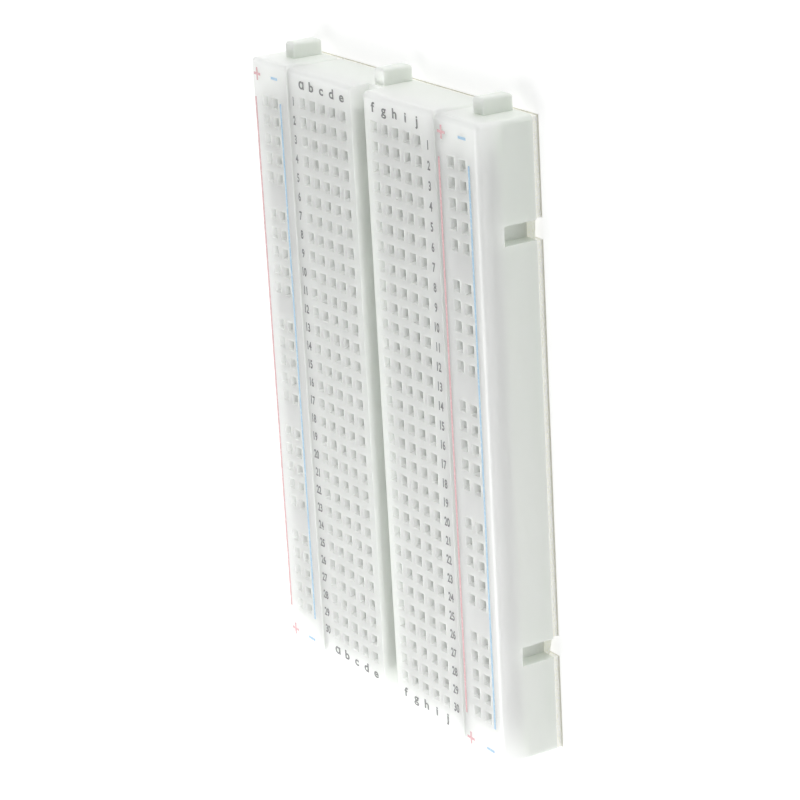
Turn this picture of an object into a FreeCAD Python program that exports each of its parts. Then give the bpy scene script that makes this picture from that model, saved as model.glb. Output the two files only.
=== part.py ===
"""Solderless breadboard, half size: a terminal strip with a power rail clipped to each side.

The board lies on its adhesive back. X runs across it, Y along it with row 1 at the +Y end, and +Z
out of the face with the holes. The origin is the middle of the release liner's outer face. Millimetres.
"""
import FreeCAD, Part
import math
import os
import Sketcher

# Driving dimensions: name, value, what it is.
DIMENSIONS = [
    ("pitch", 2.54, "spacing of the wire holes, both ways"),
    ("row_count", 30, "rows on the terminal strip"),
    ("column_count", 5, "holes in a row on each side of the channel"),
    ("bridge_pitches", 3, "pitches between the two columns beside the channel"),
    ("group_size", 5, "holes in one group along a power rail"),
    ("end_margin", 2.9, "from the outermost row's half pitch to the end of the board"),
    ("number_margin", 3.78, "from the outermost column's centre to the terminal strip's side"),
    ("rail_wall", 0.355, "between a rail's clip pocket and its side notches"),
    ("strip_gap", 0.1, "running gap between neighbouring strips"),
    ("housing_height", 7.9, "moulding, without the adhesive pad"),
    ("foam_thickness", 0.8, "adhesive foam pad"),
    ("liner_thickness", 0.1, "release liner"),
    ("foam_inset", 0.2, "from the moulding's side to the foam's side"),
    ("liner_inset", 0.1, "from the moulding's side to the liner's side"),
    ("relief_margin", 0.1, "how far a relief in the foam clears a notch all round"),
    ("channel_width", 3.4, "centre channel that a chip's body straddles"),
    ("channel_depth", 2.8, "centre channel"),
    ("channel_web", 0.45, "plastic between the channel's floor and the notch under it"),
    ("mouth_width", 1.5, "square wire hole at the face"),
    ("throat_width", 1.1, "square wire hole below its lead-in"),
    ("lead_in_depth", 0.45, "tapered lead-in of a wire hole"),
    ("roof_thickness", 1.2, "plastic between the face and the clip pockets"),
    ("pocket_width", 1.9, "clip pocket, across its clip"),
    ("pocket_end", 1.07, "from the last contact's centre to the end of its pocket"),
    ("peg_width", 2.1, "locking peg, along the side that it stands on"),
    ("peg_reach", 2.1, "how far a peg stands out of its side"),
    ("peg_foot", 0.3, "from the moulding's back to the peg"),
    ("peg_round", 0.45, "rounding of a peg's tip"),
    ("peg_side_clearance", 0.2, "notch beside a peg, on each side"),
    ("peg_tip_clearance", 0.15, "notch beyond a peg's tip"),
    ("peg_top_clearance", 0.15, "notch above a peg"),
    ("side_peg_spacing", 54.0, "between the two pegs on one long side"),
    ("face_round", 0.7, "rounding of the board's outer edges at the face"),
    ("seam_round", 0.2, "rounding of the edges along a seam between strips"),
    ("corner_round", 0.6, "rounding of the board's upright corners"),
    ("clip_sheet", 0.2, "spring sheet of the clips"),
    ("clip_side_clearance", 0.1, "clip in its pocket, on each side"),
    ("clip_end_clearance", 0.1, "clip in its pocket, at each end"),
    ("clip_back_clearance", 0.15, "from the foam to the clip's base"),
    ("clip_top_clearance", 0.35, "from the roof to the tips of the fingers"),
    ("clip_spine_height", 1.7, "continuous trough that joins a clip's fingers"),
    ("finger_width", 1.9, "one contact's pair of fingers, along the clip"),
    ("finger_pinch_gap", 0.16, "between the two fingers where they grip a wire"),
    ("finger_mouth_gap", 1.0, "between the tips of the two fingers"),
    ("finger_flare_height", 1.1, "from the grip to the tips"),
]

SHEET = "sizes"


def size(name):
    """Expression for one driving dimension."""
    return f"{SHEET}.{name}"


# Sizes that follow from the driving dimensions, as expressions for setExpression.
PITCH = size("pitch")
ROW_SPAN = f"({size('row_count')} - 1) * {PITCH}"
BOARD_LENGTH = f"({size('row_count')} * {PITCH} + 2 * {size('end_margin')})"
HOUSING_BACK = f"({size('foam_thickness')} + {size('liner_thickness')})"
NOTCH_WIDTH = f"({size('peg_width')} + 2 * {size('peg_side_clearance')})"
NOTCH_DEPTH = f"({size('peg_reach')} + {size('peg_tip_clearance')} - {size('strip_gap')})"
NOTCH_HEIGHT = f"({size('housing_height')} - {size('channel_depth')} - {size('channel_web')})"
PEG_HEIGHT = f"({NOTCH_HEIGHT} - {size('peg_foot')} - {size('peg_top_clearance')})"
FIRST_COLUMN = f"({size('bridge_pitches')} / 2 * {PITCH})"
LAST_COLUMN = f"({FIRST_COLUMN} + ({size('column_count')} - 1) * {PITCH})"
TERMINAL_WIDTH = f"(2 * {LAST_COLUMN} + 2 * {size('number_margin')})"
RAIL_MARGIN = f"({size('pocket_width')} / 2 + {size('rail_wall')} + {NOTCH_DEPTH})"
RAIL_WIDTH = f"({PITCH} + 2 * {RAIL_MARGIN})"
RAIL_CENTRE = f"({TERMINAL_WIDTH} / 2 + {size('strip_gap')} + {RAIL_WIDTH} / 2)"
GROUP_PITCH = f"({size('group_size')} + 1) * {PITCH}"
GROUP_COUNT = f"floor({size('row_count')} / ({size('group_size')} + 1))"
CONTACT_SPAN = f"(({GROUP_COUNT} - 1) * {GROUP_PITCH} + ({size('group_size')} - 1) * {PITCH})"
RAIL_STEPS = [(PITCH, size("group_size")), (GROUP_PITCH, GROUP_COUNT)]
POCKET_DEPTH = f"({size('housing_height')} - {size('roof_thickness')})"
CLIP_HALF_WIDTH = f"({size('pocket_width')} / 2 - {size('clip_side_clearance')})"
CLIP_END = f"({size('pocket_end')} - {size('clip_end_clearance')})"
FINGER_TOP = f"({POCKET_DEPTH} - {size('clip_top_clearance')} - {size('clip_back_clearance')})"
FINGER_PINCH = f"({FINGER_TOP} - {size('finger_flare_height')})"

# How far a cutting sketch runs past the side that it opens, and a peg is rooted inside its side.
OVERRUN = "1"
ROOT = "0.5"
NEAR = 1e-4
PATTERN_TOLERANCE = 1e-3


def make_sheet(doc):
    """The spreadsheet that holds the driving dimensions."""
    sheet = doc.addObject("Spreadsheet::Sheet", SHEET)
    for line, (name, value, meaning) in enumerate(DIMENSIONS, start=1):
        sheet.set(f"A{line}", name)
        sheet.set(f"B{line}", str(value))
        sheet.set(f"C{line}", meaning)
        sheet.setAlias(f"B{line}", name)
    doc.recompute()
    return sheet


def whole_number(sheet, expression):
    """The value of an expression that counts something."""
    return int(round(float(sheet.evalExpression(expression))))


def make_body(doc, label):
    """An empty body."""
    body = doc.addObject("PartDesign::Body", label)
    body.Label = label
    body.AllowCompound = True
    return body


def origin_feature(body, role):
    """One of the body's own origin planes or axes."""
    return next(item for item in body.Origin.OriginFeatures if item.Role == role)


def make_sketch(body, name, plane, offset="0"):
    """A sketch on one of the body's origin planes, moved along the plane's normal."""
    sketch = body.newObject("Sketcher::SketchObject", name)
    sketch.AttachmentSupport = [(origin_feature(body, plane), "")]
    sketch.MapMode = "FlatFace"
    sketch.setExpression("AttachmentOffset.Base.z", offset)
    return sketch


def add_outline(sketch, corners):
    """A closed outline of straight lines; each corner is a pair of expressions."""
    values = [[float(sketch.evalExpression(item)) for item in corner] for corner in corners]
    points = [FreeCAD.Vector(across, up, 0) for across, up in values]
    first = sketch.GeometryCount
    count = len(points)
    for index, point in enumerate(points):
        sketch.addGeometry(Part.LineSegment(point, points[(index + 1) % count]), False)
    for index, corner in enumerate(corners):
        line = first + index
        following = first + (index + 1) % count
        sketch.addConstraint(Sketcher.Constraint("Coincident", line, 2, following, 1))
        for kind, value, expression in zip(("DistanceX", "DistanceY"), values[index], corner):
            number = sketch.addConstraint(Sketcher.Constraint(kind, -1, 1, line, 1, value))
            sketch.setExpression(f"Constraints[{number}]", expression)


def add_rectangle(sketch, low_x, low_y, high_x, high_y):
    """A rectangle between two corners, each side's place an expression."""
    add_outline(sketch, [(low_x, low_y), (high_x, low_y), (high_x, high_y), (low_x, high_y)])


def add_centred_rectangle(sketch, centre_x, centre_y, width, depth):
    """A rectangle about a centre."""
    add_rectangle(sketch, f"{centre_x} - {width} / 2", f"{centre_y} - {depth} / 2",
                  f"{centre_x} + {width} / 2", f"{centre_y} + {depth} / 2")


def add_pad(body, sketch, name, length, midplane=False):
    """A pad along the sketch's normal."""
    pad = body.newObject("PartDesign::Pad", name)
    pad.Profile = sketch
    pad.Midplane = midplane
    pad.setExpression("Length", length)
    body.Document.recompute()
    return pad


def add_pocket(body, sketch, name, depth, upward, taper=None):
    """A pocket cut up or down from the sketch; it must take material away."""
    before = body.Shape.Volume
    pocket = body.newObject("PartDesign::Pocket", name)
    pocket.Profile = sketch
    pocket.Reversed = upward
    pocket.setExpression("Length", depth)
    if taper:
        pocket.setExpression("TaperAngle", taper)
    body.Document.recompute()
    if body.Shape.Volume > before - NEAR:
        raise RuntimeError(f"{body.Label}: {name} cuts nothing")
    return pocket


def own_volume(feature):
    """What a feature adds to the one before it; negative where it cuts."""
    before = feature.BaseFeature.Shape.Volume if feature.BaseFeature else 0.0
    return feature.Shape.Volume - before


def add_step(body, name, axis, spacing, count):
    """One direction of copying, not yet applied to any feature."""
    step = body.newObject("PartDesign::LinearPattern", name)
    step.Direction = (origin_feature(body, axis), [""])
    step.Mode = "Spacing"
    step.setExpression("Offset", spacing)
    step.setExpression("Occurrences", count)
    return step


def add_pattern(body, originals, name, axis, steps):
    """Copies of some features along one of the body's axes; a step is a spacing and a count."""
    if len(steps) == 1:
        pattern = add_step(body, name, axis, *steps[0])
        lines = [pattern]
    else:
        lines = [add_step(body, f"{name}_step_{number}", axis, *step)
                 for number, step in enumerate(steps, start=1)]
        pattern = body.newObject("PartDesign::MultiTransform", name)
        pattern.Transformations = lines
    pattern.Originals = originals
    body.Tip = pattern
    body.Document.recompute()
    copies = math.prod(line.Occurrences for line in lines)
    wanted = (copies - 1) * sum(own_volume(feature) for feature in originals)
    if abs(own_volume(pattern) - wanted) > abs(wanted) * PATTERN_TOLERANCE:
        raise RuntimeError(f"{body.Label}: {name} did not make all its copies")
    return pattern


def add_fillet(body, name, radius, wanted):
    """Rounds the edges of the body that wanted(box of the edge, box of the body) picks."""
    tip = body.Tip
    whole = tip.Shape.BoundBox
    edges = [f"Edge{number}" for number, edge in enumerate(tip.Shape.Edges, start=1)
             if wanted(edge.BoundBox, whole)]
    fillet = body.newObject("PartDesign::Fillet", name)
    fillet.Base = (tip, edges)
    fillet.setExpression("Radius", radius)
    body.Document.recompute()
    return fillet


def upright_at(side):
    """Picks the upright edges at one side of the body: -1, +1, or 0 for both sides."""
    def wanted(edge, whole):
        upright = edge.ZLength > whole.ZLength - NEAR
        left = side <= 0 and edge.XMax < whole.XMin + NEAR
        right = side >= 0 and edge.XMin > whole.XMax - NEAR
        return upright and (left or right)
    return wanted


def face_edge_at(sides):
    """Picks the edges of the face at the named sides of the body."""
    def wanted(edge, whole):
        at_face = edge.ZMin > whole.ZMax - NEAR
        places = {
            "left": edge.XMax < whole.XMin + NEAR,
            "right": edge.XMin > whole.XMax - NEAR,
            "ends": edge.YMax < whole.YMin + NEAR or edge.YMin > whole.YMax - NEAR,
        }
        return at_face and any(places[side] for side in sides)
    return wanted


def tip_edge(edge, whole):
    """Picks the edges round the tips of the pegs, which stand furthest out on the left and at the top."""
    at_left = edge.XMax < whole.XMin + NEAR
    at_top = edge.YMin > whole.YMax - NEAR
    return at_left or at_top


def add_block(body, width, outer_side):
    """The strip's plain block, with its edges rounded; outer_side is -1, +1, or 0 for neither."""
    sketch = make_sketch(body, "outline", "XY_Plane")
    add_centred_rectangle(sketch, "0", "0", width, BOARD_LENGTH)
    add_pad(body, sketch, "block", size("housing_height"))
    outer = {-1: ["left"], 0: [], 1: ["right"]}[outer_side]
    seams = [side for side in ("left", "right") if side not in outer]
    if outer:
        add_fillet(body, "corners", size("corner_round"), upright_at(outer_side))
    add_fillet(body, "seam_edges", size("seam_round"), face_edge_at(seams))
    add_fillet(body, "face_edges", size("face_round"), face_edge_at(outer + ["ends"]))


def add_pegs(body, width):
    """Locking pegs: two on the left side and one at the top end."""
    sketch = make_sketch(body, "peg_outlines", "XY_Plane", size("peg_foot"))
    for sign in ("-", ""):
        middle = f"({sign}{size('side_peg_spacing')} / 2)"
        add_rectangle(sketch, f"-{width} / 2 - {size('peg_reach')}", f"{middle} - {size('peg_width')} / 2",
                      f"-{width} / 2 + {ROOT}", f"{middle} + {size('peg_width')} / 2")
    add_rectangle(sketch, f"-{size('peg_width')} / 2", f"{BOARD_LENGTH} / 2 - {ROOT}",
                  f"{size('peg_width')} / 2", f"{BOARD_LENGTH} / 2 + {size('peg_reach')}")
    add_pad(body, sketch, "pegs", PEG_HEIGHT)
    add_fillet(body, "peg_tips", size("peg_round"), tip_edge)


def add_notches(body, width, height, margin="0"):
    """Notches that a neighbour's pegs drop into: two in the right side and one in the bottom end."""
    sketch = make_sketch(body, "notch_outlines", "XY_Plane")
    half = f"({NOTCH_WIDTH} / 2 + {margin})"
    depth = f"({NOTCH_DEPTH} + {margin})"
    for sign in ("-", ""):
        middle = f"({sign}{size('side_peg_spacing')} / 2)"
        add_rectangle(sketch, f"{width} / 2 - {depth}", f"{middle} - {half}",
                      f"{width} / 2 + {OVERRUN}", f"{middle} + {half}")
    add_rectangle(sketch, f"-{half}", f"-{BOARD_LENGTH} / 2 - {OVERRUN}",
                  half, f"-{BOARD_LENGTH} / 2 + {depth}")
    add_pocket(body, sketch, "notches", height, upward=True)


def add_channel(body):
    """The channel along the middle of the terminal strip, open at both ends."""
    sketch = make_sketch(body, "channel_outline", "XY_Plane", size("housing_height"))
    add_centred_rectangle(sketch, "0", "0", size("channel_width"), f"({BOARD_LENGTH} + 2 * {OVERRUN})")
    add_pocket(body, sketch, "channel", size("channel_depth"), upward=False)


def add_wire_holes(body, columns, first_y, steps):
    """Square wire holes with a tapered lead-in: one row of them, repeated along Y."""
    tapers = (size("mouth_width"), size("throat_width"), size("lead_in_depth"))
    taper = "-atan(({} - {}) / (2 * {}))".format(*tapers)
    cuts = (
        ("throats", size("throat_width"), size("roof_thickness"), None),
        ("lead_ins", size("mouth_width"), size("lead_in_depth"), taper),
    )
    features = []
    for name, width, depth, angle in cuts:
        sketch = make_sketch(body, f"{name}_outline", "XY_Plane", size("housing_height"))
        for column in columns:
            add_centred_rectangle(sketch, column, f"({first_y})", width, width)
        features.append(add_pocket(body, sketch, name, depth, upward=False, taper=angle))
    add_pattern(body, features, "wire_holes", "Y_Axis", steps)


def make_terminal_housing(doc, columns_per_side):
    """Moulding of the terminal strip."""
    body = make_body(doc, "terminal_strip_housing")
    add_block(body, TERMINAL_WIDTH, outer_side=0)
    add_channel(body)
    add_pegs(body, TERMINAL_WIDTH)
    add_notches(body, TERMINAL_WIDTH, NOTCH_HEIGHT)
    pockets = make_sketch(body, "clip_pocket_outlines", "XY_Plane")
    first_row = f"(-{ROW_SPAN} / 2)"
    half_pocket = f"{size('pocket_width')} / 2"
    inner = f"{FIRST_COLUMN} - {size('pocket_end')}"
    outer = f"{LAST_COLUMN} + {size('pocket_end')}"
    add_rectangle(pockets, inner, f"{first_row} - {half_pocket}", outer, f"{first_row} + {half_pocket}")
    add_rectangle(pockets, f"-({outer})", f"{first_row} - {half_pocket}",
                  f"-({inner})", f"{first_row} + {half_pocket}")
    pocket = add_pocket(body, pockets, "clip_pockets", POCKET_DEPTH, upward=True)
    rows = [(PITCH, size("row_count"))]
    add_pattern(body, [pocket], "clip_pocket_rows", "Y_Axis", rows)
    columns = [f"({sign}({FIRST_COLUMN} + {number} * {PITCH}))"
               for sign in ("-", "") for number in range(columns_per_side)]
    add_wire_holes(body, columns, first_row, rows)
    body.setExpression("Placement.Base.z", HOUSING_BACK)
    return body


def make_rail_housing(doc, label, side):
    """Moulding of a power rail; side is -1 for the left rail and +1 for the right rail."""
    body = make_body(doc, label)
    add_block(body, RAIL_WIDTH, outer_side=side)
    add_pegs(body, RAIL_WIDTH)
    add_notches(body, RAIL_WIDTH, NOTCH_HEIGHT)
    columns = [f"({sign}{PITCH} / 2)" for sign in ("-", "")]
    pockets = make_sketch(body, "clip_pocket_outlines", "XY_Plane")
    for column in columns:
        add_centred_rectangle(pockets, column, "0", size("pocket_width"),
                              f"({CONTACT_SPAN} + 2 * {size('pocket_end')})")
    add_pocket(body, pockets, "clip_pockets", POCKET_DEPTH, upward=True)
    add_wire_holes(body, columns, f"-{CONTACT_SPAN} / 2", RAIL_STEPS)
    body.setExpression("Placement.Base.x", f"{side} * {RAIL_CENTRE}")
    body.setExpression("Placement.Base.z", HOUSING_BACK)
    return body


def add_finger_pair(sketch):
    """The two leaning fingers of a contact, seen along the clip."""
    sheet = size("clip_sheet")
    grip = f"{size('finger_pinch_gap')} / 2"
    mouth = f"{size('finger_mouth_gap')} / 2"
    knee = size("clip_spine_height")
    section = [
        (CLIP_HALF_WIDTH, "0"),
        (CLIP_HALF_WIDTH, knee),
        (f"{grip} + {sheet}", FINGER_PINCH),
        (f"{mouth} + {sheet}", FINGER_TOP),
        (mouth, FINGER_TOP),
        (grip, FINGER_PINCH),
        (f"{CLIP_HALF_WIDTH} - {sheet}", knee),
        (f"{CLIP_HALF_WIDTH} - {sheet}", "0"),
    ]
    for sign in ("", "-"):
        add_outline(sketch, [(f"{sign}({across})", up) for across, up in section])


def add_clip_spine(sketch):
    """The trough that joins a clip's fingers, seen along the clip."""
    sheet = size("clip_sheet")
    half = CLIP_HALF_WIDTH
    knee = size("clip_spine_height")
    add_outline(sketch, [
        (f"-{half}", "0"), (half, "0"), (half, knee), (f"{half} - {sheet}", knee),
        (f"{half} - {sheet}", sheet), (f"-{half} + {sheet}", sheet),
        (f"-{half} + {sheet}", knee), (f"-{half}", knee),
    ])


def make_terminal_clips(doc):
    """The two clips of one row, with a contact for each hole on both sides of the channel."""
    body = make_body(doc, "clips_of_a_row")
    sides = (f"{LAST_COLUMN} + {FIRST_COLUMN}", "2")
    spine_sketch = make_sketch(body, "spine_section", "YZ_Plane", f"-({sides[0]}) / 2")
    add_clip_spine(spine_sketch)
    spine_length = f"({LAST_COLUMN} - {FIRST_COLUMN} + 2 * {CLIP_END})"
    spine = add_pad(body, spine_sketch, "spine", spine_length, midplane=True)
    add_pattern(body, [spine], "spines", "X_Axis", [sides])
    finger_sketch = make_sketch(body, "finger_section", "YZ_Plane", f"-{LAST_COLUMN}")
    add_finger_pair(finger_sketch)
    fingers = add_pad(body, finger_sketch, "fingers", size("finger_width"), midplane=True)
    add_pattern(body, [fingers], "contacts", "X_Axis", [(PITCH, size("column_count")), sides])
    return body


def make_rail_clip(doc):
    """The long clip under one column of a power rail."""
    body = make_body(doc, "clip_of_a_rail")
    spine_sketch = make_sketch(body, "spine_section", "XZ_Plane")
    add_clip_spine(spine_sketch)
    add_pad(body, spine_sketch, "spine", f"({CONTACT_SPAN} + 2 * {CLIP_END})", midplane=True)
    finger_sketch = make_sketch(body, "finger_section", "XZ_Plane", f"{CONTACT_SPAN} / 2")
    add_finger_pair(finger_sketch)
    fingers = add_pad(body, finger_sketch, "fingers", size("finger_width"), midplane=True)
    add_pattern(body, [fingers], "contacts", "Y_Axis", RAIL_STEPS)
    return body


def place_copy(doc, label, master, across="0", along="0"):
    """A sub-part that repeats a clip somewhere else on the board."""
    copy = doc.addObject("Part::Compound", label)
    copy.Label = label
    copy.Links = [master]
    copy.setExpression("Placement.Base.x", across)
    copy.setExpression("Placement.Base.y", along)
    copy.setExpression("Placement.Base.z", f"{HOUSING_BACK} + {size('clip_back_clearance')}")
    return copy


def make_clips(doc, row_count):
    """All the spring clips: one node for each row, and one for each column of a rail."""
    row_clips = make_terminal_clips(doc)
    copies = [place_copy(doc, f"row_{number:02d}_clips", row_clips,
                         along=f"{ROW_SPAN} / 2 - {number - 1} * {PITCH}")
              for number in range(1, row_count + 1)]
    rail_clip = make_rail_clip(doc)
    for side, rail in ((-1, "left"), (1, "right")):
        for offset, sign in ((-0.5, "plus"), (0.5, "minus")):
            copies.append(place_copy(doc, f"{rail}_rail_{sign}_clip", rail_clip,
                                     across=f"{side} * {RAIL_CENTRE} + {offset} * {PITCH}"))
    doc.recompute()
    return copies


def make_layer(doc, strip, layer, width, across, inset, thickness, back):
    """The foam or the liner under one strip, cut away under the notches."""
    body = make_body(doc, f"{strip}_{layer}")
    outline = make_sketch(body, "outline", "XY_Plane")
    add_centred_rectangle(outline, "0", "0", f"({width} - 2 * {inset})", f"({BOARD_LENGTH} - 2 * {inset})")
    add_pad(body, outline, "sheet", thickness)
    add_notches(body, width, thickness, size("relief_margin"))
    body.setExpression("Placement.Base.x", across)
    body.setExpression("Placement.Base.z", back)
    return body


def make_backing(doc):
    """A foam pad and a release liner under each strip."""
    strips = (
        ("left_rail", RAIL_WIDTH, f"-1 * {RAIL_CENTRE}"),
        ("terminal_strip", TERMINAL_WIDTH, "0"),
        ("right_rail", RAIL_WIDTH, RAIL_CENTRE),
    )
    layers = []
    for strip, width, across in strips:
        layers.append(make_layer(doc, strip, "foam", width, across, size("foam_inset"),
                                 size("foam_thickness"), size("liner_thickness")))
        layers.append(make_layer(doc, strip, "liner", width, across, size("liner_inset"),
                                 size("liner_thickness"), "0"))
    return layers


def check_document(doc, parts):
    """Stops if any object failed, or a sub-part has no valid solid."""
    for item in doc.Objects:
        if "Invalid" in item.State or "Error" in item.State:
            raise RuntimeError(f"{item.Name} failed: {item.State}")
    for part in parts:
        if part.Shape.isNull() or not part.Shape.isValid() or not part.Shape.Solids:
            raise RuntimeError(f"{part.Label} has no valid solid")


def write_parts(parts):
    """One STEP file for each sub-part."""
    os.makedirs("parts", exist_ok=True)
    for part in parts:
        part.Shape.exportStep(f"parts/{part.Label}.step")
        print(f"{part.Label}: {len(part.Shape.Solids)} solid(s), {part.Shape.Volume:.2f} mm3")


def main():
    """Builds the breadboard and writes its sub-parts."""
    doc = FreeCAD.newDocument("breadboard")
    sheet = make_sheet(doc)
    parts = [make_terminal_housing(doc, whole_number(sheet, size("column_count")))]
    parts.append(make_rail_housing(doc, "left_rail_housing", -1))
    parts.append(make_rail_housing(doc, "right_rail_housing", 1))
    parts.extend(make_clips(doc, whole_number(sheet, size("row_count"))))
    parts.extend(make_backing(doc))
    doc.recompute()
    check_document(doc, parts)
    write_parts(parts)


main()
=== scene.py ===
"""Looks of the solderless breadboard: moulded plastic, spring clips, foam backing and printed legend.

The board lies on its back with +Z out of the face; everything is in metres in the CAD frame.
"""
import math

import bmesh
import bpy
from mathutils import Matrix, Vector, noise


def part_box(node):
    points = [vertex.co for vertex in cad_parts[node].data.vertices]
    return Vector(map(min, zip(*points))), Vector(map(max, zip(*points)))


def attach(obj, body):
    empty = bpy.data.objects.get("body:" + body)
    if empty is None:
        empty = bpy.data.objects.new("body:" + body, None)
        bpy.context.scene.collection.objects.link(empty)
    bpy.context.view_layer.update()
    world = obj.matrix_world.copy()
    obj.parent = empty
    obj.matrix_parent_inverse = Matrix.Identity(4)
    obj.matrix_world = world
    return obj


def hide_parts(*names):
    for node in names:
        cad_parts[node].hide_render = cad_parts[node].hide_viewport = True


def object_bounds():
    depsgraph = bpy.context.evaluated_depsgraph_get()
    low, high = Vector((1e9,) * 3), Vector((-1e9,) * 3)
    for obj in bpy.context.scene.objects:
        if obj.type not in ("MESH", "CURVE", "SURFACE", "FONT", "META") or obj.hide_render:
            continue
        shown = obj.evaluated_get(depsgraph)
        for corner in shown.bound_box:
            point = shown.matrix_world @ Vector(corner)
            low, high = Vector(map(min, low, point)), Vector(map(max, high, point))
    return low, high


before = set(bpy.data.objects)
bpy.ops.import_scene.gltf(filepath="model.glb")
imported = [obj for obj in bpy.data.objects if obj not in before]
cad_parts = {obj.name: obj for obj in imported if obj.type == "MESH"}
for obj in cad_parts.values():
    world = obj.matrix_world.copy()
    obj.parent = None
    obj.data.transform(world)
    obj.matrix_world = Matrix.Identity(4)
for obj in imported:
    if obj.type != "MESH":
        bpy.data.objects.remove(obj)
CAD_LOW, CAD_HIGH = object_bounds()

MM = 0.001
STRIPS = ("left_rail", "terminal_strip", "right_rail")
RAILS = ("left_rail", "right_rail")


# ---------------------------------------------------------------- places taken from the frame

def centre_of(node):
    """Middle of a CAD node's box."""
    low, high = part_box(node)
    return (low + high) / 2


FACE_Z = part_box("terminal_strip_housing")[1].z
HALF_LENGTH = -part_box("terminal_strip_housing")[0].y
ROW_NODES = sorted(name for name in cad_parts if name.startswith("row_"))
ROW_Y = [centre_of(name).y for name in ROW_NODES]
PITCH = (ROW_Y[0] - ROW_Y[-1]) / (len(ROW_Y) - 1)
LEFT_COLUMNS = [-(1.5 + number) * PITCH for number in (4, 3, 2, 1, 0)]
RIGHT_COLUMNS = [(1.5 + number) * PITCH for number in range(5)]


def rail_centre_x(rail):
    """Middle of a rail across the board, between its two clips."""
    return (centre_of(f"{rail}_plus_clip").x + centre_of(f"{rail}_minus_clip").x) / 2


# ---------------------------------------------------------------- camera, light and floor

CAMERA_PLACE = Vector((306.4, 118.4, 185.5)) * MM
CAMERA_AIM = Vector((0.0, -0.47, 5.01)) * MM
CAMERA_ROLL = math.radians(3.23)
CAMERA_LENS = 131.0


def look_rotation(place, aim, up, roll=0.0):
    """Rotation of a camera or light at place that looks at aim with up upward in its picture."""
    back = (place - aim).normalized()
    right = up.cross(back).normalized()
    turned = Matrix((right, back.cross(right), back)).transposed()
    return turned.to_4x4() @ Matrix.Rotation(-roll, 4, "Z")


def make_camera():
    """A long lens on the board's right side and top end, rolled so that the board stands upright."""
    data = bpy.data.cameras.new("camera")
    data.lens = CAMERA_LENS
    data.clip_start = 0.02
    data.clip_end = 20
    camera = bpy.data.objects.new("camera", data)
    bpy.context.scene.collection.objects.link(camera)
    turn = look_rotation(CAMERA_PLACE, CAMERA_AIM, Vector((0, 1, 0)), CAMERA_ROLL)
    camera.matrix_world = Matrix.Translation(CAMERA_PLACE) @ turn
    bpy.context.scene.camera = camera


# Soft boxes: name, place, what it is aimed at, width (metres) and power (watts).
LIGHTS = (
    ("key", (-0.06, -0.13, 0.26), (0, -0.02, 0), 0.24, 1.15),
    ("top_end", (-0.02, 0.42, 0.05), (0, 0.04, 0.004), 0.3, 0.8),
    ("right_side", (0.13, -0.17, 0.03), (0.027, -0.03, 0.004), 0.1, 0.055),
)
WORLD_COLOUR = (0.98, 1.0, 0.99, 1)
WORLD_STRENGTH = 0.17
FLOOR_HALF = 3.0
FLOOR_GAP = 0.02 * MM
FLOOR_GLOW = 0.68


def make_area_light(name, place, aim, width, power):
    """A square soft box."""
    data = bpy.data.lights.new(name, "AREA")
    data.size = width
    data.energy = power
    light = bpy.data.objects.new(name, data)
    bpy.context.scene.collection.objects.link(light)
    place = Vector(place)
    turn = look_rotation(place, Vector(aim), Vector((0, 0, 1)))
    light.matrix_world = Matrix.Translation(place) @ turn


def make_light():
    """A pale studio: an even world and a soft box each for the face, the top end and the right side."""
    world = bpy.data.worlds.new("studio")
    world.use_nodes = True
    background = world.node_tree.nodes["Background"]
    background.inputs["Color"].default_value = WORLD_COLOUR
    background.inputs["Strength"].default_value = WORLD_STRENGTH
    bpy.context.scene.world = world
    for name, place, aim, width, power in LIGHTS:
        make_area_light(name, place, aim, width, power)
    view = bpy.context.scene.view_settings
    view.view_transform = "Standard"
    view.look = "None"


def make_floor():
    """A plain white floor just under the board, which glows a little so that it stays white."""
    mesh = bpy.data.meshes.new("floor")
    z = CAD_LOW.z - FLOOR_GAP
    corners = [(x * FLOOR_HALF, y * FLOOR_HALF, z) for x, y in ((-1, -1), (1, -1), (1, 1), (-1, 1))]
    mesh.from_pydata(corners, [], [(0, 1, 2, 3)])
    floor = bpy.data.objects.new("floor", mesh)
    bpy.context.scene.collection.objects.link(floor)
    material, shader, _ = new_material("floor_white")
    shader.inputs["Base Color"].default_value = (0.5, 0.5, 0.5, 1)
    shader.inputs["Roughness"].default_value = 0.9
    shader.inputs["Emission Color"].default_value = (1, 1, 1, 1)
    shader.inputs["Emission Strength"].default_value = FLOOR_GLOW
    mesh.materials.append(material)


# ---------------------------------------------------------------- materials

def new_material(name):
    """A node material: the material, its Principled shader and its node tree."""
    material = bpy.data.materials.new(name)
    material.use_nodes = True
    tree = material.node_tree
    return material, tree.nodes["Principled BSDF"], tree


def add_node(tree, kind, **settings):
    """A shader node with some of its properties or inputs set; inputs are named with _ for spaces."""
    node = tree.nodes.new(kind)
    for key, value in settings.items():
        if hasattr(node, key):
            setattr(node, key, value)
        else:
            node.inputs[key.replace("_", " ")].default_value = value
    return node


def object_noise(tree, scale, detail=3.0, roughness=0.5, stretch=(1, 1, 1)):
    """Noise fixed to the object, scale in features per metre, stretched per axis."""
    place = add_node(tree, "ShaderNodeTexCoord")
    mapping = add_node(tree, "ShaderNodeMapping")
    mapping.inputs["Scale"].default_value = stretch
    tree.links.new(place.outputs["Object"], mapping.inputs["Vector"])
    texture = add_node(tree, "ShaderNodeTexNoise", Scale=scale, Detail=detail, Roughness=roughness)
    tree.links.new(mapping.outputs["Vector"], texture.inputs["Vector"])
    return texture.outputs["Fac"]


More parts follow.
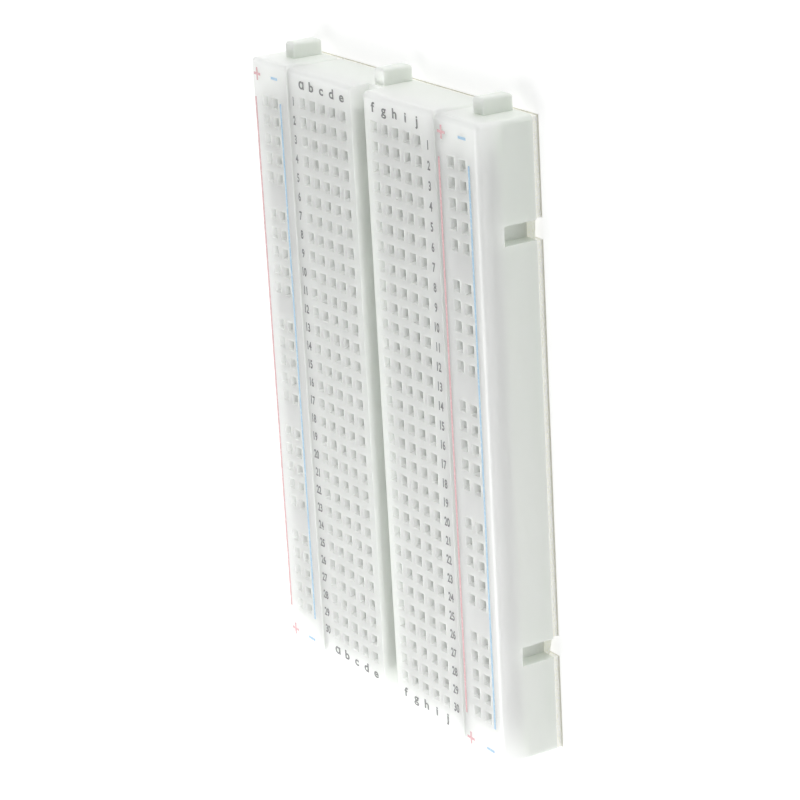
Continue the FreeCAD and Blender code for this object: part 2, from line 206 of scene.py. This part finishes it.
def ramp(tree, value, stops):
    """A colour ramp; stops are (position, colour)."""
    node = add_node(tree, "ShaderNodeValToRGB")
    elements = node.color_ramp.elements
    while len(elements) < len(stops):
        elements.new(0.5)
    for element, (position, colour) in zip(elements, stops):
        element.position = position
        element.color = (*colour, 1)
    tree.links.new(value, node.inputs["Fac"])
    return node.outputs["Color"]


def map_range(tree, value, low, high):
    """Spreads a 0 to 1 value between low and high."""
    node = add_node(tree, "ShaderNodeMapRange", To_Min=low, To_Max=high)
    tree.links.new(value, node.inputs["Value"])
    return node.outputs["Result"]


def add_bump(tree, shader, layers):
    """Chained bumps; layers are (height, strength, distance)."""
    normal = None
    for height, strength, distance in layers:
        node = add_node(tree, "ShaderNodeBump", Strength=strength, Distance=distance)
        tree.links.new(height, node.inputs["Height"])
        if normal:
            tree.links.new(normal, node.inputs["Normal"])
        normal = node.outputs["Normal"]
    tree.links.new(normal, shader.inputs["Normal"])


# How far light scatters in the moulding: far in its thin face, less in the body below.
DENSE_Z = 5.0 * MM
CLEAR_Z = 7.0 * MM
DENSE_SCATTER = 0.5 * MM
CLEAR_SCATTER = 8.0 * MM


def make_plastic():
    """Milky moulded plastic: clearer in its thin face, denser below, with mould texture and flow marks."""
    material, shader, tree = new_material("milky_plastic")
    flow = object_noise(tree, 55, detail=4, roughness=0.6, stretch=(1, 0.35, 1))
    colour = ramp(tree, flow, [(0.3, (0.86, 0.905, 0.845)), (0.7, (0.89, 0.93, 0.87))])
    tree.links.new(colour, shader.inputs["Base Color"])
    cloud = object_noise(tree, 900, detail=5)
    tree.links.new(map_range(tree, cloud, 0.34, 0.5), shader.inputs["Roughness"])
    shader.inputs["Subsurface Weight"].default_value = 1.0
    shader.inputs["Subsurface Radius"].default_value = (1.0, 1.0, 1.0)
    place = add_node(tree, "ShaderNodeTexCoord")
    axes = add_node(tree, "ShaderNodeSeparateXYZ")
    tree.links.new(place.outputs["Object"], axes.inputs["Vector"])
    depth = add_node(tree, "ShaderNodeMapRange", From_Min=DENSE_Z, From_Max=CLEAR_Z,
                     To_Min=DENSE_SCATTER, To_Max=CLEAR_SCATTER)
    tree.links.new(axes.outputs["Z"], depth.inputs["Value"])
    tree.links.new(depth.outputs["Result"], shader.inputs["Subsurface Scale"])
    shader.inputs["IOR"].default_value = 1.5
    grain = object_noise(tree, 9000, detail=2)
    waves = object_noise(tree, 260, detail=2)
    add_bump(tree, shader, [(grain, 0.10, 0.00002), (waves, 0.05, 0.0002)])
    return material


def make_spring_metal():
    """Nickel-plated spring sheet with rolling lines and a little warm tarnish."""
    material, shader, tree = new_material("spring_metal")
    patches = object_noise(tree, 240, detail=4)
    colour = ramp(tree, patches, [(0.35, (0.60, 0.56, 0.50)), (0.65, (0.74, 0.72, 0.69))])
    tree.links.new(colour, shader.inputs["Base Color"])
    shader.inputs["Metallic"].default_value = 1.0
    shader.inputs["Anisotropic"].default_value = 0.4
    lines = object_noise(tree, 1500, detail=3, stretch=(0.05, 1, 1))
    tree.links.new(map_range(tree, lines, 0.22, 0.42), shader.inputs["Roughness"])
    add_bump(tree, shader, [(lines, 0.08, 0.00003)])
    return material


# Stands in for the light that reaches the foam through the back of the board.
FOAM_GLOW = 0.18


def make_foam():
    """Closed-cell adhesive foam: matte, creamy, with small open cells on its cut sides whose pits are
    painted darker as shade, and a weak painted glow.
    """
    material, shader, tree = new_material("adhesive_foam")
    place = add_node(tree, "ShaderNodeTexCoord")
    cells = add_node(tree, "ShaderNodeTexVoronoi", Scale=5200.0)
    tree.links.new(place.outputs["Object"], cells.inputs["Vector"])
    depth = cells.outputs["Distance"]
    # Painted shade: the colour turns darker tan down in the cell pits, where the bump sinks.
    colour = ramp(tree, depth, [(0.05, (0.70, 0.69, 0.58)), (0.5, (0.90, 0.895, 0.84))])
    tree.links.new(colour, shader.inputs["Base Color"])
    shader.inputs["Roughness"].default_value = 0.85
    shader.inputs["Subsurface Weight"].default_value = 0.3
    shader.inputs["Subsurface Radius"].default_value = (1.0, 0.95, 0.7)
    shader.inputs["Subsurface Scale"].default_value = 0.0006
    shader.inputs["Emission Color"].default_value = (0.98, 1.0, 0.95, 1)
    shader.inputs["Emission Strength"].default_value = FOAM_GLOW
    add_bump(tree, shader, [(depth, 0.6, 0.00008)])
    return material


def make_paper():
    """Glassine release paper: fine fibres and a faint sheen."""
    material, shader, tree = new_material("release_paper")
    fibres = object_noise(tree, 2600, detail=6, roughness=0.65, stretch=(1, 0.25, 1))
    colour = ramp(tree, fibres, [(0.3, (0.78, 0.77, 0.68)), (0.7, (0.88, 0.87, 0.80))])
    tree.links.new(colour, shader.inputs["Base Color"])
    tree.links.new(map_range(tree, fibres, 0.38, 0.55), shader.inputs["Roughness"])
    add_bump(tree, shader, [(fibres, 0.15, 0.00003)])
    return material


# Each ink's colour where its film is thin, then where it covers fully.
DARK_INK = ((0.38, 0.39, 0.375), (0.20, 0.205, 0.20))
RED_INK = ((0.78, 0.61, 0.62), (0.67, 0.39, 0.41))
BLUE_INK = ((0.62, 0.735, 0.80), (0.36, 0.545, 0.71))


def make_ink(name, thin, full):
    """Pad-printed ink: a little uneven in its coverage, with a matte film."""
    material, shader, tree = new_material(name)
    coverage = object_noise(tree, 2400, detail=5, roughness=0.7)
    colour = ramp(tree, coverage, [(0.28, thin), (0.5, full)])
    tree.links.new(colour, shader.inputs["Base Color"])
    tree.links.new(map_range(tree, coverage, 0.5, 0.75), shader.inputs["Roughness"])
    add_bump(tree, shader, [(coverage, 0.12, 0.00001)])
    return material


# ---------------------------------------------------------------- CAD nodes

EDGE_BREAK = 0.07 * MM
WELD_REACH = 0.002 * MM


def dress(node, material):
    """Gives a CAD node its material."""
    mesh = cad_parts[node].data
    mesh.materials.clear()
    mesh.materials.append(material)


def soften_edges(node, width):
    """Breaks a CAD node's sharp edges with a small bevel, as a mould does."""
    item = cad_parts[node]
    weld = item.modifiers.new("weld", "WELD")
    weld.merge_threshold = WELD_REACH
    bevel = item.modifiers.new("edge_break", "BEVEL")
    bevel.width = width
    bevel.segments = 2
    bevel.limit_method = "ANGLE"
    bevel.angle_limit = math.radians(50)


# ---------------------------------------------------------------- printed legend

INK_FILM = 0.012 * MM
INK_ROOT = 0.004 * MM
LETTER_HEIGHT = 1.3 * MM
NUMBER_HEIGHT = 1.2 * MM
NUMBER_SQUEEZE = 0.76
LETTER_SQUEEZE = 1.4
FONT_BOLDNESS = 0.025
TOP_LETTER_Y = HALF_LENGTH - 1.6 * MM
BOTTOM_LETTER_Y = -HALF_LENGTH + 1.95 * MM
NUMBER_OFFSET = 2.35 * MM
SCRIPT_A = "ɑ"


def text_mesh(text):
    """A flat, thin mesh of some text, one unit high, middle at the origin."""
    curve = bpy.data.curves.new("label", "FONT")
    curve.body = text
    curve.size = 1.0
    curve.offset = FONT_BOLDNESS
    curve.extrude = 0.5
    curve.resolution_u = 6
    label = bpy.data.objects.new("label", curve)
    bpy.context.scene.collection.objects.link(label)
    bpy.context.view_layer.update()
    evaluated = label.evaluated_get(bpy.context.evaluated_depsgraph_get())
    mesh = bpy.data.meshes.new_from_object(evaluated)
    bpy.data.objects.remove(label)
    bpy.data.curves.remove(curve)
    return mesh


def digit_height():
    """Height of a digit in a font of size one."""
    mesh = text_mesh("0")
    heights = [vertex.co.y for vertex in mesh.vertices]
    return max(heights) - min(heights)


def add_label(target, text, place, height, squeeze, unit):
    """Adds some text to a bmesh, its middle at place across and its base line below place."""
    mesh = text_mesh(text)
    across = [vertex.co.x for vertex in mesh.vertices]
    middle = (min(across) + max(across)) / 2
    scale = height / unit
    film = INK_FILM + INK_ROOT
    for vertex in mesh.vertices:
        x, y, z = vertex.co
        vertex.co = ((x - middle) * scale * squeeze + place.x,
                     (y - unit / 2) * scale + place.y,
                     FACE_Z - INK_ROOT + (z + 0.5) * film)
    target.from_mesh(mesh)
    bpy.data.meshes.remove(mesh)


def make_piece(name, made, material, body):
    """Turns a bmesh into a named piece that rides on a body."""
    mesh = bpy.data.meshes.new(name)
    made.to_mesh(mesh)
    made.free()
    for polygon in mesh.polygons:
        polygon.use_smooth = False
    mesh.materials.append(material)
    piece = bpy.data.objects.new(name, mesh)
    bpy.context.scene.collection.objects.link(piece)
    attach(piece, body)
    return piece


def make_terminal_legend(ink):
    """Row numbers down both sides and column letters at both ends."""
    unit = digit_height()
    numbers = bmesh.new()
    left_x = LEFT_COLUMNS[0] - NUMBER_OFFSET
    right_x = RIGHT_COLUMNS[-1] + NUMBER_OFFSET
    for number, y in enumerate(ROW_Y, start=1):
        for x in (left_x, right_x):
            add_label(numbers, str(number), Vector((x, y)), NUMBER_HEIGHT, NUMBER_SQUEEZE, unit)
    make_piece("row_numbers", numbers, ink, "terminal_strip")
    letters = bmesh.new()
    for names, columns in ((SCRIPT_A + "bcde", LEFT_COLUMNS), ("fghij", RIGHT_COLUMNS)):
        for name, x in zip(names, columns):
            for y in (TOP_LETTER_Y, BOTTOM_LETTER_Y):
                add_label(letters, name, Vector((x, y)), LETTER_HEIGHT, LETTER_SQUEEZE, unit)
    make_piece("column_letters", letters, ink, "terminal_strip")


LINE_WIDTH = 0.34 * MM
LINE_STEP = 0.4 * MM
LINE_WAVER = 0.02 * MM
LINE_TOP_Y = 35.8 * MM
LINE_BOTTOM_Y = -36.6 * MM
RED_LINE_X = -3.85 * MM
BLUE_LINE_X = 2.7 * MM
PLUS_X = -3.1 * MM
MINUS_X = 1.45 * MM
MARK_TOP_Y = 38.95 * MM
MARK_BOTTOM_Y = -39.9 * MM
MARK_ARM = 0.85 * MM
MARK_WIDTH = 0.34 * MM


def add_ribbon(target, start, end, width, seed):
    """A printed stroke from start to end, with edges that waver slightly."""
    along = end - start
    side = Vector((-along.y, along.x)).normalized()
    count = max(2, round(along.length / LINE_STEP))
    previous = None
    for index in range(count + 1):
        centre = start + along * (index / count)
        ring = []
        for sign, z in ((-1, -INK_ROOT), (-1, INK_FILM), (1, INK_FILM), (1, -INK_ROOT)):
            waver = noise.noise(Vector((index * 0.7, sign * 9.1, seed))) * LINE_WAVER
            edge = centre + side * (sign * width / 2 + waver)
            ring.append(target.verts.new((edge.x, edge.y, FACE_Z + z)))
        if previous:
            for corner in range(4):
                after = (corner + 1) % 4
                target.faces.new((previous[corner], previous[after], ring[after], ring[corner]))
        else:
            target.faces.new(ring)
        previous = ring
    target.faces.new(previous[::-1])


def make_rail_legend(rail, red, blue):
    """The red and blue lines of a power rail, with a plus and a minus at both ends."""
    middle = rail_centre_x(rail)
    colours = (
        ("plus_print", red, "legend_ink_red", RED_LINE_X, PLUS_X, True),
        ("minus_print", blue, "legend_ink_blue", BLUE_LINE_X, MINUS_X, False),
    )
    for seed, (name, ink, slot_name, line_x, mark_x, crossed) in enumerate(colours):
        made = bmesh.new()
        x = middle + line_x
        add_ribbon(made, Vector((x, LINE_BOTTOM_Y)), Vector((x, LINE_TOP_Y)), LINE_WIDTH, seed + middle)
        for y in (MARK_TOP_Y, MARK_BOTTOM_Y):
            centre = Vector((middle + mark_x, y))
            across = Vector((MARK_ARM, 0))
            add_ribbon(made, centre - across, centre + across, MARK_WIDTH, seed + y)
            if crossed:
                up = Vector((0, MARK_ARM))
                gap = Vector((0, MARK_WIDTH / 2))
                add_ribbon(made, centre - up, centre - gap, MARK_WIDTH, seed - y)
                add_ribbon(made, centre + gap, centre + up, MARK_WIDTH, seed - 2 * y)
        bmesh.ops.recalc_face_normals(made, faces=made.faces)
        make_piece(f"{rail}_{name}", made, ink, rail)


# ---------------------------------------------------------------- foam pads

FOAM_STEP = 0.3 * MM
FOAM_LAYERS = 6
FOAM_ROUGHNESS = 0.09 * MM
FOAM_GRAIN = 2600.0
FINE_GRAIN = 2.3
FINE_SHARE = 0.35
SAME_PLACE = 0.001 * MM


def outline_of(node):
    """The outer outline of a flat CAD sheet, as points in order round it, seen from above."""
    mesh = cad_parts[node].data
    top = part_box(node)[1].z
    made = bmesh.new()
    made.from_mesh(mesh)
    bmesh.ops.remove_doubles(made, verts=made.verts, dist=SAME_PLACE)
    sides = [edge for edge in made.edges
             if all(abs(vertex.co.z - top) < SAME_PLACE for vertex in edge.verts)
             and sum(abs(face.normal.z) < 0.5 for face in edge.link_faces) == 1]
    neighbours = {}
    for edge in sides:
        first, second = edge.verts
        neighbours.setdefault(first, []).append(second)
        neighbours.setdefault(second, []).append(first)
    start = sides[0].verts[0]
    loop = [start]
    previous, current = None, start
    while True:
        following = next(item for item in neighbours[current] if item is not previous)
        if following is start:
            break
        loop.append(following)
        previous, current = current, following
    points = [vertex.co.xy.copy() for vertex in loop]
    made.free()
    return points


def evenly_spaced(points, step):
    """Points along a closed outline about a step apart, corners kept."""
    spaced = []
    for first, second in zip(points, points[1:] + points[:1]):
        count = max(1, round((second - first).length / step))
        spaced.extend(first.lerp(second, index / count) for index in range(count))
    return spaced


def make_foam_pad(strip, material):
    """A die-cut foam pad with torn cells on its sides, in place of the plain CAD pad."""
    node = f"{strip}_foam"
    low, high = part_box(node)
    outline = evenly_spaced(outline_of(node), FOAM_STEP)
    area = sum(a.x * b.y - b.x * a.y for a, b in zip(outline, outline[1:] + outline[:1]))
    turn = 1 if area > 0 else -1
    made = bmesh.new()
    rings = []
    for layer in range(FOAM_LAYERS + 1):
        z = low.z + (high.z - low.z) * layer / FOAM_LAYERS
        ring = []
        for index, point in enumerate(outline):
            before = outline[index - 1]
            after = outline[(index + 1) % len(outline)]
            along = (after - before).normalized()
            inward = Vector((-along.y, along.x)) * turn
            sample = Vector((point.x, point.y, z)) * FOAM_GRAIN
            bite = 0.5 + 0.5 * noise.noise(sample) + FINE_SHARE * noise.noise(sample * FINE_GRAIN)
            place = point + inward * (bite * FOAM_ROUGHNESS)
            ring.append(made.verts.new((place.x, place.y, z)))
        rings.append(ring)
    for lower, upper in zip(rings, rings[1:]):
        for index in range(len(outline)):
            after = (index + 1) % len(outline)
            made.faces.new((lower[index], lower[after], upper[after], upper[index]))
    made.faces.new(rings[0][::-1])
    made.faces.new(rings[-1])
    bmesh.ops.triangulate(made, faces=made.faces[-2:])
    bmesh.ops.recalc_face_normals(made, faces=made.faces)
    piece = make_piece(f"{strip}_foam_pad", made, material, strip)
    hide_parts(node)


# ---------------------------------------------------------------- the whole board


def main():
    """Builds the scene around the frame."""
    make_camera()
    make_light()
    make_floor()
    plastic = make_plastic()
    metal = make_spring_metal()
    foam = make_foam()
    paper = make_paper()
    dark = make_ink("legend_dark", *DARK_INK)
    red = make_ink("legend_red", *RED_INK)
    blue = make_ink("legend_blue", *BLUE_INK)
    for strip in STRIPS:
        dress(f"{strip}_housing", plastic)
        soften_edges(f"{strip}_housing", EDGE_BREAK)
        dress(f"{strip}_liner", paper)
        make_foam_pad(strip, foam)
    for node in ROW_NODES:
        dress(node, metal)
    for rail in RAILS:
        for sign in ("plus", "minus"):
            dress(f"{rail}_{sign}_clip", metal)
        make_rail_legend(rail, red, blue)
    make_terminal_legend(dark)


main()
